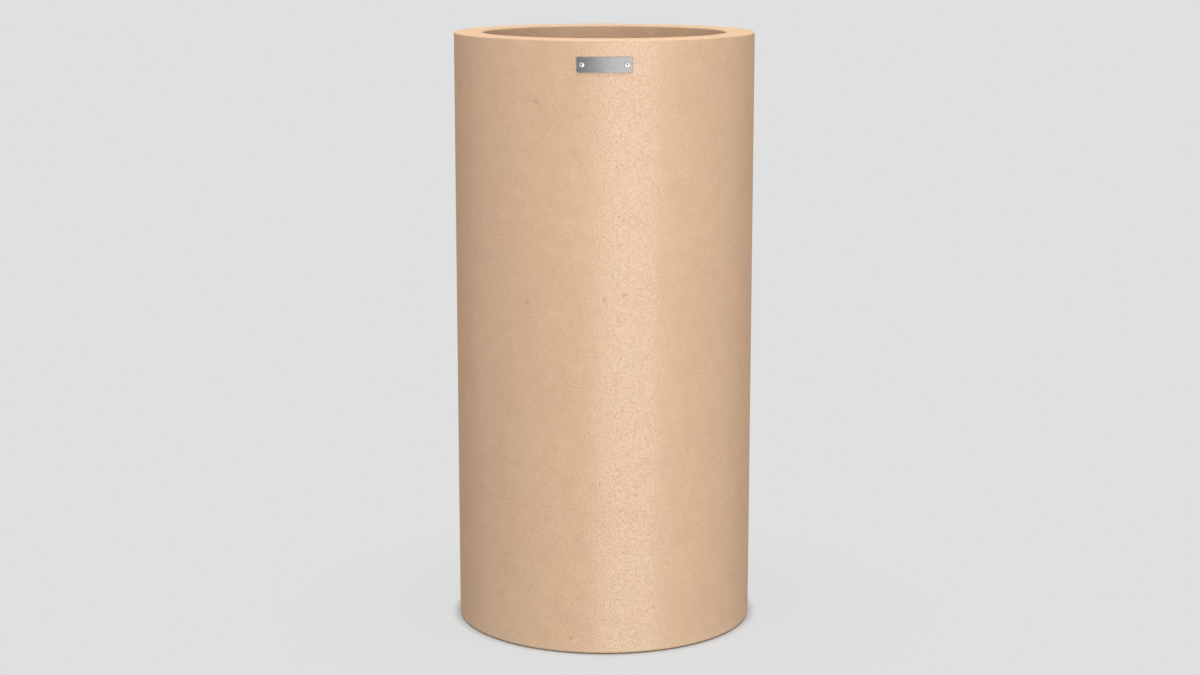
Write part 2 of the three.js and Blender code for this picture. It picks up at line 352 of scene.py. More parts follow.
def makeRubber():
    material, tree, place = startMaterial("blackRubber", sheen=rubber["sheen"])
    dust = noise(tree, place, rubber["dustScale"], detail=3.0, roughness=0.6, seed=9.0)
    grain = noise(tree, place, rubber["grainScale"], detail=1.0, seed=11.0)
    color = blend(tree, remap(tree, dust, *rubber["dustLevels"]), rubber["black"], rubber["bloom"])
    edge = readAttribute(tree, "edge").outputs["Fac"]
    color = layTone(tree, color, rubber["bloom"], edge, rubber["edgeShare"])
    dulling = remap(tree, dust, *noiseSpan, *rubber["dustDulls"])
    roughness = calc(tree, "ADD", dulling, rubber["roughness"])
    return finishMaterial(material, color, roughness, grain, rubber["grainDepth"])


steel = {
    "grey": tint(0.15, 0.15, 0.15),
    "paleLine": tint(0.205, 0.205, 0.205),
    "cutEdgeGlint": tint(0.75, 0.75, 0.75),      # the sheared edge is paler, partly from its polish and mostly as a painted highlight
    "lineScale": (14, 14, 2600),            # brushed level, so the lines are fine from top to bottom
    "lineDepth": 0.00002,
    "edgeGlintTilt": (0.2, 0.5),                 # the plate's faces have none, its edges much
    "smudgeScale": 160,
    "smudgeLevels": (0.55, 0.7),
    "smudgeDulls": 0.05,                    # what smudges and brushed lines add to the roughness
    "lineDulls": (-0.05, 0.07),
    "anisotropic": 0.45,
    "roughness": 0.30,
}


def makeSteel():
    material, tree, place = startMaterial("brushedSteel", metallic=1.0, anisotropic=steel["anisotropic"])
    drawnOut = stretch(tree, place, steel["lineScale"])
    lines = noise(tree, drawnOut, 1.0, detail=3.0, roughness=0.65, seed=12.0)
    smudge = noise(tree, place, steel["smudgeScale"], detail=2.0, seed=13.0)
    color = blend(tree, remap(tree, lines, *noiseCore), steel["grey"], steel["paleLine"])
    normal = addNode(tree, "ShaderNodeTexCoord").outputs["Normal"]
    tilt = calc(tree, "ABSOLUTE", addNode(tree, "ShaderNodeSeparateXYZ", {0: normal}).outputs["Z"])
    # painted highlight: the plate's top and bottom edges are made far paler than its steel, partly for the
    # sheared edge's polish
    color = blend(tree, remap(tree, tilt, *steel["edgeGlintTilt"]), color, steel["cutEdgeGlint"])
    dulling = remap(tree, lines, *noiseSpan, *steel["lineDulls"])
    roughness = calc(tree, "ADD", dulling, steel["roughness"])
    dulling = remap(tree, smudge, *steel["smudgeLevels"], 0.0, steel["smudgeDulls"])
    roughness = calc(tree, "ADD", roughness, dulling)
    return finishMaterial(material, color, roughness, lines, steel["lineDepth"])


pressed = {
    "aluminium": tint(0.70, 0.70, 0.71),
    "dulled": tint(0.56, 0.56, 0.57),
    "snappedSteel": tint(0.10, 0.10, 0.105),
    "rust": tint(0.16, 0.11, 0.08),
    "headRoughness": 0.28,
    "pinRoughness": 0.5,
    "hazeScale": 700,
    "hazeLevels": (0.45, 0.7),
    "hazeDulls": (-0.04, 0.08),
    "grainScale": 2600,
    "grainDepth": 0.00003,
}


def makeMetal(name, bright, dull, roughness, seed):
    material, tree, place = startMaterial(name, metallic=1.0)
    haze = noise(tree, place, pressed["hazeScale"], detail=2.0, seed=seed)
    grain = noise(tree, place, pressed["grainScale"], detail=2.0, roughness=0.6, seed=seed + 0.5)
    color = blend(tree, remap(tree, haze, *pressed["hazeLevels"]), bright, dull)
    dulling = remap(tree, haze, *noiseSpan, *pressed["hazeDulls"])
    roughness = calc(tree, "ADD", dulling, roughness)
    return finishMaterial(material, color, roughness, grain, pressed["grainDepth"])


sandGelcoat = makeGelcoat()
rawLaminate = makeLaminate()
glassCloth = makeTapeCloth()
blackRubber = makeRubber()
brushedSteel = makeSteel()
rivetAluminium = makeMetal(
    "rivetAluminium", pressed["aluminium"], pressed["dulled"], pressed["headRoughness"], seed=14.0,
)
mandrelSteel = makeMetal(
    "mandrelSteel", pressed["snappedSteel"], pressed["rust"], pressed["pinRoughness"], seed=15.0,
)
print("materials made")


# pieces: mesh and modifier helpers

def newPiece(name, mesh):
    piece = bpy.data.objects.new(name, mesh)
    bpy.context.scene.collection.objects.link(piece)
    return piece


def bakeModifiers(piece):
    # the result of the modifiers becomes the piece's own plain mesh
    depsgraph = bpy.context.evaluated_depsgraph_get()
    mesh = bpy.data.meshes.new_from_object(piece.evaluated_get(depsgraph), depsgraph=depsgraph)
    piece.modifiers.clear()
    mesh.name = piece.name
    piece.data = mesh
    return piece


def runTree(piece, tree, values):
    modifier = piece.modifiers.new(tree.name, "NODES")
    modifier.node_group = tree
    for item in tree.interface.items_tree:
        if item.item_type == "SOCKET" and item.in_out == "INPUT" and item.name in values:
            modifier[item.identifier] = values[item.name]
    bakeModifiers(piece)
    if piece.data.materials[0] is None:     # Set Material can leave an empty slot in front
        piece.data.materials.pop(index=0)
    return piece


def startTree(name, *sizes):
    tree = bpy.data.node_groups.new(name, "GeometryNodeTree")
    for label, kind in (("Geometry", "Geometry"), *sizes):
        tree.interface.new_socket(label, in_out="INPUT", socket_type="NodeSocket" + kind)
    tree.interface.new_socket("Geometry", in_out="OUTPUT", socket_type="NodeSocketGeometry")
    return tree, addNode(tree, "NodeGroupInput").outputs


def dress(piece, body, slot, *nodes, crease=38):
    piece.data.polygons.foreach_set("use_smooth", [True] * len(piece.data.polygons))
    piece.data.set_sharp_from_angle(angle=math.radians(crease))
    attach(piece, body)
    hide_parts(*nodes)
    print(piece.name + ":", len(piece.data.polygons), "faces")


# turned shapes: an outline of (radius, height) points carried round the axis

def arc(centre, radius, fromAngle, toAngle, steps=6):
    points = []
    for i in range(steps + 1):
        angle = math.radians(fromAngle + (toAngle - fromAngle) * i / steps)
        points.append((centre[0] + radius * math.cos(angle), centre[1] + radius * math.sin(angle)))
    return points


def withRows(outline, spacing, guard=0.001, closed=True):
    # straight stretches get rows, with one close to each end so that the shading stays flat there
    result = []
    ends = outline[1:] + (outline[:1] if closed else [])
    for start, end in zip(outline, ends):
        result.append(start)
        length = math.dist(start, end)
        if length > 4 * guard:
            count = max(1, math.ceil((length - 2 * guard) / spacing))
            for i in range(count + 1):
                share = (guard + (length - 2 * guard) * i / count) / length
                result.append(tuple(a + (b - a) * share for a, b in zip(start, end)))
    if not closed:
        result.append(outline[-1])
    return result


def outlineMesh(name, points, marks):
    # each mark gives every point a number, which the turned surface then carries: "raw" is bare laminate,
    # "edge" a paler worn edge, and "still" a place where the surface doesn't wander
    mesh = bpy.data.meshes.new(name)
    mesh.from_pydata([(radius, 0, height) for radius, height in points], [], [])
    for label, rule in marks.items():
        values = [float(rule(radius, height)) for radius, height in points]
        mesh.attributes.new(label, "FLOAT", "POINT").data.foreach_set("value", values)
    return mesh


def outlineValue(tree, outline, row, value, kind="FLOAT"):
    inputs = {"Geometry": outline, "Value": value, "Index": row}
    node = addNode(tree, "GeometryNodeSampleIndex", data_type=kind)
    for key, socket in inputs.items():
        tree.links.new(socket, node.inputs[key])
    return node.outputs[0]


def makeTurnTree():
    tree, sizes = startTree(
        "turnOutline",
        ("Around", "Int"), ("Closed", "Int"), ("Wave", "Float"), ("Wave scale", "Float"),
        ("Lumps", "Float"), ("Lump scale", "Float"), ("Lay radius", "Float"), ("Seed", "Float"),
        ("Outside", "Material"), ("Inside", "Material"),
    )
    outline = sizes["Geometry"]
    count = addNode(tree, "GeometryNodeAttributeDomainSize", {0: outline}).outputs["Point Count"]
    rows = calc(tree, "ADD", count, sizes["Closed"])
    gridSize = {"Vertices X": calc(tree, "ADD", sizes["Around"], 1), "Vertices Y": rows}
    grid = addNode(tree, "GeometryNodeMeshGrid", gridSize)
    uv = addNode(tree, "ShaderNodeSeparateXYZ", {0: grid.outputs["UV Map"]}).outputs
    step = calc(tree, "ROUND", calc(tree, "MULTIPLY", uv[1], calc(tree, "SUBTRACT", rows, 1)))
    row = calc(tree, "MODULO", step, count)
    position = addNode(tree, "GeometryNodeInputPosition").outputs[0]
    point = outlineValue(tree, outline, row, position, "FLOAT_VECTOR")
    radius, _, height = addNode(tree, "ShaderNodeSeparateXYZ", {0: point}).outputs
    angle = calc(tree, "MULTIPLY", uv[0], 2 * math.pi)
    x = calc(tree, "MULTIPLY", radius, calc(tree, "SINE", angle))
    y = calc(tree, "MULTIPLY", radius, calc(tree, "MULTIPLY", calc(tree, "COSINE", angle), -1))
    turned = addNode(tree, "ShaderNodeCombineXYZ", {0: x, 1: y, 2: height}).outputs[0]
    geometry = grid.outputs["Mesh"]
    for label in ("raw", "edge", "still", "run"):
        mark = addNode(tree, "GeometryNodeInputNamedAttribute", {"Name": label}, data_type="FLOAT").outputs[0]
        store = {"Geometry": geometry, "Name": label, "Value": outlineValue(tree, outline, row, mark)}
        geometry = addNode(tree, "GeometryNodeStoreNamedAttribute", store, data_type="FLOAT").outputs[0]
    # the surface laid out flat, in metres, for strands and weave: a disc, with no lay radius, stays as it is
    run = addNode(tree, "GeometryNodeInputNamedAttribute", {"Name": "run"}, data_type="FLOAT").outputs[0]
    girth = calc(tree, "MULTIPLY", angle, sizes["Lay radius"])
    unrolled = addNode(tree, "ShaderNodeCombineXYZ", {0: girth, 1: run}).outputs[0]
    isDisc = calc(tree, "LESS_THAN", sizes["Lay radius"], hair)
    flat = addNode(tree, "ShaderNodeMix", {0: isDisc, 4: unrolled, 5: turned}, data_type="VECTOR").outputs[1]
    store = {"Geometry": geometry, "Name": "laidFlat", "Value": flat}
    flatStore = addNode(tree, "GeometryNodeStoreNamedAttribute", store, data_type="FLOAT2", domain="CORNER")
    place = {"Geometry": flatStore.outputs[0], "Position": turned}
    geometry = addNode(tree, "GeometryNodeSetPosition", place).outputs[0]
    weld = {"Geometry": geometry, "Distance": weldDistance}
    geometry = addNode(tree, "GeometryNodeMergeByDistance", weld).outputs[0]
    # the surface wanders in and out a little, except where it is held still
    raw = addNode(tree, "GeometryNodeInputNamedAttribute", {"Name": "raw"}, data_type="FLOAT").outputs[0]
    still = addNode(tree, "GeometryNodeInputNamedAttribute", {"Name": "still"}, data_type="FLOAT").outputs[0]
    wave = noise(tree, position, sizes["Wave scale"], detail=1.0, roughness=0.4, seed=sizes["Seed"])
    wave = calc(tree, "SUBTRACT", wave, 0.5)
    lumps = noise(tree, position, sizes["Lump scale"], detail=2.0, roughness=0.55, seed=sizes["Seed"])
    lumps = calc(tree, "SUBTRACT", lumps, 0.5)
    lumps = calc(tree, "MULTIPLY", calc(tree, "MULTIPLY", lumps, sizes["Lumps"]), raw)
    shift = calc(tree, "ADD", calc(tree, "MULTIPLY", wave, sizes["Wave"]), lumps)
    shift = calc(tree, "MULTIPLY", shift, calc(tree, "SUBTRACT", 1.0, still))
    normal = addNode(tree, "GeometryNodeInputNormal").outputs[0]
    offset = addNode(tree, "ShaderNodeVectorMath", {0: normal, "Scale": shift}, operation="SCALE").outputs[0]
    shifted = {"Geometry": geometry, "Offset": offset}
    geometry = addNode(tree, "GeometryNodeSetPosition", shifted).outputs[0]
    geometry = addNode(tree, "GeometryNodeRealizeInstances", {0: geometry}).outputs[0]
    cover = {"Geometry": geometry, "Material": sizes["Outside"]}
    geometry = addNode(tree, "GeometryNodeSetMaterial", cover).outputs[0]
    isRaw = addNode(tree, "FunctionNodeCompare", {0: raw, 1: 0.5}, operation="GREATER_THAN").outputs[0]
    cover = {"Geometry": geometry, "Selection": isRaw, "Material": sizes["Inside"]}
    geometry = addNode(tree, "GeometryNodeSetMaterial", cover).outputs[0]
    addNode(tree, "NodeGroupOutput", {0: geometry})
    return tree


turnOutline = makeTurnTree()


def turnPiece(
    name, points, material, around=96, closed=True, inside=None, marks=None,
    wave=(0, 8), lumps=(0, 35), layRadius=0.1,
):
    # wave and lumps are a height and how many go to the metre
    runs = [0.0]
    for start, end in zip(points, points[1:]):
        runs.append(runs[-1] + math.dist(start, end))
    rules = {"raw": lambda r, z: 0, "edge": lambda r, z: 0, "still": lambda r, z: 0}
    rules.update(marks or {})
    mesh = outlineMesh(name, points, rules)
    mesh.attributes.new("run", "FLOAT", "POINT").data.foreach_set("value", runs)
    values = {
        "Around": around, "Closed": int(closed), "Wave": float(wave[0]), "Wave scale": float(wave[1]),
        "Lumps": float(lumps[0]), "Lump scale": float(lumps[1]), "Lay radius": float(layRadius),
        "Seed": float(len(name)),
        "Outside": material, "Inside": inside or material,
    }
    return runTree(newPiece(name, mesh), turnOutline, values)


# shell: wall, flat rim and turned-down lip in one moulding

shellLow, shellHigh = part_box("shell")

shell = {
    "radius": shellHigh.x,
    "top": shellHigh.z,
    "bottom": shellLow.z,
    "wall": 0.005,
    "mouthRadius": 0.162,
    "rimThickness": 0.006,
    "rimOuterEdge": 0.002,
    "rimInnerEdge": 0.0025,
    "lipDepth": 0.050,
    "lipThickness": 0.005,
    "lipEdge": 0.001,
    "channelFillet": 0.008,
    "bottomEdge": 0.0025,
    "bottomChamfer": 0.001,
    "rowSpacing": 0.012,
    "around": 300,
    "wave": (0.0003, 9.0),
    "skinRoom": 0.00015,        # keeps the wandering surface inside the moulding's size
    "laminateLumps": (0.0022, 38.0),
    "rawSlack": 0.0012,         # just past the chamfer at the wall's foot
    "stillRadius": 0.182,
    "stillHeight": 0.075,
}


def shellOutline():
    s = shell
    skin = s["radius"] - s["skinRoom"]
    top = s["top"] - s["skinRoom"]
    inner = s["radius"] - s["wall"]
    lipBack = s["mouthRadius"] + s["lipThickness"]
    lipEnd = s["top"] - s["lipDepth"] + s["lipEdge"]
    filletHeight = s["top"] - s["rimThickness"] - s["channelFillet"]
    outline = (
        arc((skin - s["bottomEdge"], s["bottom"] + s["bottomEdge"]), s["bottomEdge"], -90, 0)
        + arc((skin - s["rimOuterEdge"], top - s["rimOuterEdge"]), s["rimOuterEdge"], 0, 90)
        + arc((s["mouthRadius"] + s["rimInnerEdge"], top - s["rimInnerEdge"]), s["rimInnerEdge"], 90, 180)
        + arc((s["mouthRadius"] + s["lipEdge"], lipEnd), s["lipEdge"], 180, 270, 4)
        + arc((lipBack - s["lipEdge"], lipEnd), s["lipEdge"], 270, 360, 4)
        + arc((lipBack + s["channelFillet"], filletHeight), s["channelFillet"], 180, 90)
        + arc((inner - s["channelFillet"], filletHeight), s["channelFillet"], 90, 0)
        + [(inner, s["bottom"] + s["bottomChamfer"]), (inner + s["bottomChamfer"], s["bottom"])]
    )
    return withRows(outline, s["rowSpacing"])


def makeShell():
    s = shell
    inner = s["radius"] - s["wall"]
    underRim = s["top"] - s["rimThickness"]

    def isRaw(r, z):
        return s["mouthRadius"] + 1.2 * s["lipEdge"] < r < inner + s["rawSlack"] and z < underRim + hair

    def isEdge(r, z):
        bottom = z < s["bottom"] + 1.5 * s["bottomEdge"]
        outerRim = r > s["radius"] - s["rimOuterEdge"] and z > s["top"] - s["rimOuterEdge"]
        mouth = r < s["mouthRadius"] + s["rimInnerEdge"] and z > s["top"] - s["rimInnerEdge"]
        return bottom or outerRim or mouth

    def isStill(r, z):
        # the band where the base and its tape are bonded in, and the wall's lower edge
        bonded = s["stillRadius"] < r < inner + s["rawSlack"] and z < s["stillHeight"]
        return bonded or z < s["bottom"] + s["bottomEdge"]

    marks = {"raw": isRaw, "edge": isEdge, "still": isStill}
    return turnPiece(
        "shellMoulding", shellOutline(), sandGelcoat, s["around"], inside=rawLaminate, marks=marks,
        wave=s["wave"], lumps=s["laminateLumps"], layRadius=inner,
    )


shellPiece = makeShell()


# base panel with its drain hole

baseLow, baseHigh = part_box("base_panel")

base = {
    "radius": baseHigh.x,
    "top": baseHigh.z,
    "bottom": baseLow.z,
    "drainRadius": 0.0125,
    "chamfer": 0.001,
    "rowSpacing": 0.005,
    "guard": 0.0008,
    "around": 192,
    "lumps": (0.0006, 45.0),
    "stillRound": 0.012,        # round the drain hole, under the plug's flange
    "stillRim": 0.042,          # under the tape
}


def makeBase():
    b = base
    chamfer = b["chamfer"]
    outline = [
        (b["radius"] - chamfer, b["bottom"]), (b["radius"], b["bottom"] + chamfer),
        (b["radius"], b["top"] - chamfer), (b["radius"] - chamfer, b["top"]),
        (b["drainRadius"] + chamfer, b["top"]), (b["drainRadius"], b["top"] - chamfer),
        (b["drainRadius"], b["bottom"] + chamfer), (b["drainRadius"] + chamfer, b["bottom"]),
    ]

    def isStill(r, z):
        return r < b["drainRadius"] + b["stillRound"] or r > b["radius"] - b["stillRim"]

    marks = {"raw": lambda r, z: 1, "still": isStill}
    points = withRows(outline, b["rowSpacing"], b["guard"])
    return turnPiece(
        "basePanel", points, rawLaminate, b["around"], marks=marks, lumps=b["lumps"], layRadius=0,
    )


basePiece = makeBase()
dress(basePiece, "planter", "raw_laminate", "base_panel")


# glass tape round the inside corner

tapeLow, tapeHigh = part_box("base_bonding_tape")

tape = {
    "radius": tapeHigh.x,
    "bottom": tapeLow.z,
    "top": tapeHigh.z,
    "overBase": 0.040,
    "thickness": 0.002,
    "corner": 0.012,
    "edgeTaper": 0.001,
    "rowSpacing": 0.004,
    "guard": 0.0006,
    "around": 288,
    "lumps": (0.0009, 90.0),
}


def makeTape():
    t = tape
    face = t["radius"] - t["thickness"]
    floor = t["bottom"] + t["thickness"]
    outline = (
        [(t["radius"], t["bottom"]), (t["radius"], t["top"]), (face, t["top"] - t["edgeTaper"])]
        + arc((face - t["corner"], floor + t["corner"]), t["corner"], 0, -90, 8)
        + [(t["radius"] - t["overBase"] + t["edgeTaper"], floor), (t["radius"] - t["overBase"], t["bottom"])]
    )

    def isStill(r, z):
        return r > t["radius"] - 2 * hair or z < t["bottom"] + 2 * hair or z > t["top"] - 2 * hair

    points = withRows(outline, t["rowSpacing"], t["guard"])
    marks = {"raw": lambda r, z: 1, "still": isStill}
    return turnPiece(
        "bondingTape", points, glassCloth, t["around"], marks=marks, lumps=t["lumps"], layRadius=t["radius"],
    )


tapePiece = makeTape()
dress(tapePiece, "planter", "glass_tape", "base_bonding_tape")


# drain plug: tapered bung with sealing rings, flange and knob

plugLow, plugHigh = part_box("drain_plug")

plug = {
    "tip": plugLow.z,
    "knobTop": plugHigh.z,
    "flangeRadius": plugHigh.x,
    "flangeThickness": 0.003,
    "seat": base["top"] + seatGap,
    "bungTop": 0.0116,
    "bungTip": 0.0106,
    "tipEdge": 0.0012,
    "ringHeight": 0.0005,
    "ringHalfWidth": 0.0010,
    "ringHeights": (0.0105, 0.0138),     # above the floor, inside the drain hole
    "ringSteps": 8,
    "neckRadius": 0.005,
    "neckFillet": 0.0012,
    "neckHeight": 0.006,
    "neckToKnob": 0.001,
    "knobRadius": 0.009,
    "knobUnderEdge": 0.0008,
    "knobEdge": 0.0025,
    "flangeEdge": 0.0008,
    "grooveRadius": 0.0150,
    "grooveDepth": 0.0005,
    "rowSpacing": 0.003,
    "guard": 0.0004,
}


def bungRadius(height):
    share = (height - plug["tip"]) / (plug["seat"] - plug["tip"])
    return plug["bungTip"] + (plug["bungTop"] - plug["bungTip"]) * share


def plugOutline():
    p = plug
    flangeTop = p["seat"] + p["flangeThickness"]
    flangeSide = p["flangeRadius"] - p["flangeEdge"]
    neckTop = flangeTop + p["neckHeight"]
    fillet = p["neckFillet"]
    under = p["knobUnderEdge"]
    points = [(0, p["tip"])]
    points += arc((p["bungTip"] - p["tipEdge"], p["tip"] + p["tipEdge"]), p["tipEdge"], -90, 0, 5)
    for ring in p["ringHeights"]:
        for i in range(p["ringSteps"] + 1):
            along = 2 * i / p["ringSteps"] - 1
            height = ring + along * p["ringHalfWidth"]
            points.append((bungRadius(height) + p["ringHeight"] * math.cos(along * math.pi / 2), height))
    points.append((p["bungTop"], p["seat"]))
    points += arc((flangeSide, p["seat"] + p["flangeEdge"]), p["flangeEdge"], -90, 0, 4)
    points += arc((flangeSide, flangeTop - p["flangeEdge"]), p["flangeEdge"], 0, 90, 4)
    points += arc((p["grooveRadius"], flangeTop), p["grooveDepth"], 0, -180, 6)
    points += arc((p["neckRadius"] + fillet, flangeTop + fillet), fillet, -90, -180, 5)
    points += [(p["neckRadius"], neckTop - p["neckToKnob"])]
    points += arc((p["knobRadius"] - under, neckTop + p["knobEdge"]), under, -50, 0, 3)
    points += arc((p["knobRadius"] - p["knobEdge"], p["knobTop"] - p["knobEdge"]), p["knobEdge"], 0, 90, 7)
    points += [(0, p["knobTop"])]
    return points


def isPlugEdge(r, z):
    return r > plug["flangeRadius"] - 1.2 * plug["flangeEdge"]


plugRows = withRows(plugOutline(), plug["rowSpacing"], plug["guard"], closed=False)
plugPiece = turnPiece("drainPlug", plugRows, blackRubber, closed=False, marks={"edge": isPlugEdge})
dress(plugPiece, "drain_plug", "black_rubber", "drain_plug")


# repeated pieces: one shape set at each place of a list

def makeSetTree():
    tree, sizes = startTree("setPieces", ("Shape", "Object"), ("Lean", "Float"), ("Cover", "Material"))
    shape = addNode(tree, "GeometryNodeObjectInfo", {"Object": sizes["Shape"], "As Instance": True})
    turn = addNode(tree, "GeometryNodeInputNamedAttribute", {"Name": "turn"}, data_type="FLOAT").outputs[0]
    euler = addNode(tree, "ShaderNodeCombineXYZ", {0: sizes["Lean"], 2: turn}).outputs[0]
    rotation = addNode(tree, "FunctionNodeEulerToRotation", {0: euler}).outputs[0]
    places = {"Points": sizes["Geometry"], "Instance": shape.outputs["Geometry"], "Rotation": rotation}
    copies = addNode(tree, "GeometryNodeInstanceOnPoints", places).outputs[0]
    solid = addNode(tree, "GeometryNodeRealizeInstances", {0: copies}).outputs[0]
    covered = addNode(tree, "GeometryNodeSetMaterial", {"Geometry": solid, "Material": sizes["Cover"]})
    addNode(tree, "NodeGroupOutput", {0: covered.outputs[0]})
    return tree


setPieces = makeSetTree()


def setShape(name, shape, places, lean, material):
    # places are (point, turn about +Z); the shape itself goes away once its copies stand
    mesh = bpy.data.meshes.new(name)
    mesh.from_pydata([point for point, turn in places], [], [])
    mesh.attributes.new("turn", "FLOAT", "POINT").data.foreach_set("value", [turn for point, turn in places])
    piece = runTree(newPiece(name, mesh), setPieces, {"Shape": shape, "Lean": lean, "Cover": material})
    bpy.data.objects.remove(shape)
    return piece


# feet

footNodes = ["foot_front_left", "foot_front_right", "foot_back_left", "foot_back_right"]
footLow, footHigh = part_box(footNodes[0])

foot = {
    "topRadius": (footHigh.x - footLow.x) / 2,
    "bottomRadius": 0.012,
    "height": footHigh.z,
    "bottomEdge": 0.0015,
    "topEdge": 0.001,
    "treadRadii": (0.0035, 0.0065),     # two shallow rings moulded in the underside
    "treadDepth": 0.0005,
    "rowSpacing": 0.004,
    "guard": 0.0005,
    "around": 64,
}


def footOutline():
    f = foot
    points = [(0, 0)]
    for radius in f["treadRadii"]:
        points += [(x, abs(z)) for x, z in arc((radius, 0), f["treadDepth"], 180, 0)]
    points += arc((f["bottomRadius"] - f["bottomEdge"], f["bottomEdge"]), f["bottomEdge"], -90, 0, 5)
    points += arc((f["topRadius"] - f["topEdge"], f["height"] - f["topEdge"]), f["topEdge"], 0, 90, 5)
    points += [(0, f["height"])]
    return points


footRows = withRows(footOutline(), foot["rowSpacing"], foot["guard"], closed=False)
footShape = turnPiece("footShape", footRows, blackRubber, foot["around"], closed=False)
footPlaces = []
for node in footNodes:
    low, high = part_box(node)
    footPlaces.append((((low.x + high.x) / 2, (low.y + high.y) / 2, low.z), 0.0))
feet = setShape("rubberFeet", footShape, footPlaces, 0.0, blackRubber)
dress(feet, "planter", "black_rubber", *footNodes)


# nameplate: thin steel, rolled to the wall, left blank

plateLow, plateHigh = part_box("nameplate")

plate = {
    "width": 0.070,
    "height": plateHigh.z - plateLow.z,
    "centre": (plateHigh.z + plateLow.z) / 2,
    "outerRadius": -plateLow.y,
    "thickness": 0.001,
    "corner": 0.0012,
    "bevel": 0.00045,
    "bevelSteps": 2,
    "holeRadius": 0.0019,
    "holeSteps": 32,
    "rivetSpacing": 0.057,
    "stripWidth": 0.001,
}

rivetAngle = math.asin(plate["rivetSpacing"] / 2 / plate["outerRadius"])
plateRoll = math.asin(plate["width"] / 2 / plate["outerRadius"]) / (plate["width"] / 2)  # turn per metre


def addLoop(curve, points):
    spline = curve.splines.new("POLY")
    spline.points.add(len(points) - 1)
    for target, (x, y) in zip(spline.points, points):
        target.co = (x, y, 0, 1)
    spline.use_cyclic_u = True


def plateBlank():
    p = plate
    right = p["width"] / 2 - p["bevel"]
    top = p["height"] / 2 - p["bevel"]
    corner = p["corner"] - p["bevel"]
    curve = bpy.data.curves.new("plateBlank", "CURVE")
    curve.dimensions = "2D"
    curve.fill_mode = "BOTH"
    outline = []
    for signX, signY, start in ((1, 1, 0), (-1, 1, 90), (-1, -1, 180), (1, -1, 270)):
        centre = (signX * (right - corner), signY * (top - corner))
        outline += arc(centre, corner, start, start + 90, 6)
    addLoop(curve, outline)
    for side in (-1, 1):
        centre = (side * rivetAngle / plateRoll, 0)
        hole = arc(centre, p["holeRadius"] + p["bevel"], 0, 360, p["holeSteps"])
        addLoop(curve, hole[:-1])
    curve.extrude = p["thickness"] / 2 - p["bevel"]
    curve.bevel_depth = p["bevel"]
    curve.bevel_resolution = p["bevelSteps"]
    return curve


def makePlate():
    p = plate
    blank = newPiece("plateBlank", plateBlank())
    depsgraph = bpy.context.evaluated_depsgraph_get()
    mesh = bpy.data.meshes.new_from_object(blank.evaluated_get(depsgraph), depsgraph=depsgraph)
    bpy.data.objects.remove(blank)
    work = bmesh.new()
    work.from_mesh(mesh)
    bmesh.ops.remove_doubles(work, verts=work.verts, dist=weldDistance)
    # cut into upright strips, so that it can be rolled
    cuts = int(p["width"] / p["stripWidth"])
    for i in range(1, cuts):
        x = -p["width"] / 2 + i * p["width"] / cuts
        geometry = work.verts[:] + work.edges[:] + work.faces[:]
        cut = {"geom": geometry, "plane_co": (x, 0, 0), "plane_no": (1, 0, 0), "dist": weldDistance / 10}
        bmesh.ops.bisect_plane(work, **cut)
    bmesh.ops.dissolve_degenerate(work, edges=work.edges, dist=weldDistance)
    middle = p["outerRadius"] - p["thickness"] / 2
    for vertex in work.verts:
        across, up, out = vertex.co
        angle = across * plateRoll
        radius = middle + out
        vertex.co = (radius * math.sin(angle), -radius * math.cos(angle), p["centre"] + up)
    bmesh.ops.recalc_face_normals(work, faces=work.faces)
    work.to_mesh(mesh)
    work.free()
    mesh.name = "nameplateSheet"
    mesh.materials.clear()
    mesh.materials.append(brushedSteel)
    return newPiece("nameplateSheet", mesh)


platePiece = makePlate()
dress(platePiece, "planter", "brushed_steel", "nameplate", crease=25)


# blind rivets and their snapped pins, heights measured out from the planter's axis

rivet = {
    "seat": plate["outerRadius"] + seatGap,
    "headRadius": 0.0034,
    "headHeight": 0.0013,
    "headEdge": 0.00025,
    "domeStart": 4,             # degrees up from the head's edge
    "domeSteps": 12,
    "sleeveRadius": 0.0016,
    "boreRadius": 0.00105,
    "boreEdge": 0.0002,
    "boreEdgeDrop": 0.00022,
    "bulgeRadius": 0.0026,
    "bulgeLength": 0.003,
    "bulgeFullness": 0.8,       # lower is fuller
    "bulgeSteps": 9,
    "grip": shell["radius"] - shell["wall"] - seatGap,
    "pinRadius": 0.00075,
    "pinRecess": 0.0011,
    "pinBreak": ((1, 0.0003), (0.8, 0.0001), (0.3, 0.00015), (0, 0)),   # share of the radius, and depth
    "pinHeadRadius": 0.0016,
    "pinHeadEdge": 0.0006,
    "pinHeadLength": 0.0022,
    "drillLength": 0.014,
    "rowSpacing": 0.002,
    "guard": 0.0001,
    "around": 48,
    "pinAround": 32,
}


def rivetOutline():
    r = rivet
    end = r["grip"] - r["bulgeLength"]
    shoulder = r["seat"] + r["headEdge"]
    points = [(r["boreRadius"], end), (r["sleeveRadius"], end)]
    for i in range(1, r["bulgeSteps"]):
        # the sleeve swells where the pin's head was pulled into it
        share = i / r["bulgeSteps"]
        swell = math.sin(share * math.pi) ** r["bulgeFullness"]
        radius = r["sleeveRadius"] + (r["bulgeRadius"] - r["sleeveRadius"]) * swell
        points.append((radius, end + (r["grip"] - end) * share))
    points += [(r["sleeveRadius"], r["grip"]), (r["sleeveRadius"], r["seat"]), (r["headRadius"], r["seat"])]
    domeHeight = r["headHeight"] - r["headEdge"]
    boreLip = r["boreRadius"] + r["boreEdge"]
    domeEnd = math.degrees(math.acos(boreLip / r["headRadius"]))
    for i in range(r["domeSteps"] + 1):
        angle = math.radians(r["domeStart"] + (domeEnd - r["domeStart"]) * i / r["domeSteps"])
        points.append((r["headRadius"] * math.cos(angle), shoulder + domeHeight * math.sin(angle)))
    points.append((r["boreRadius"], points[-1][1] - r["boreEdgeDrop"]))
    return points


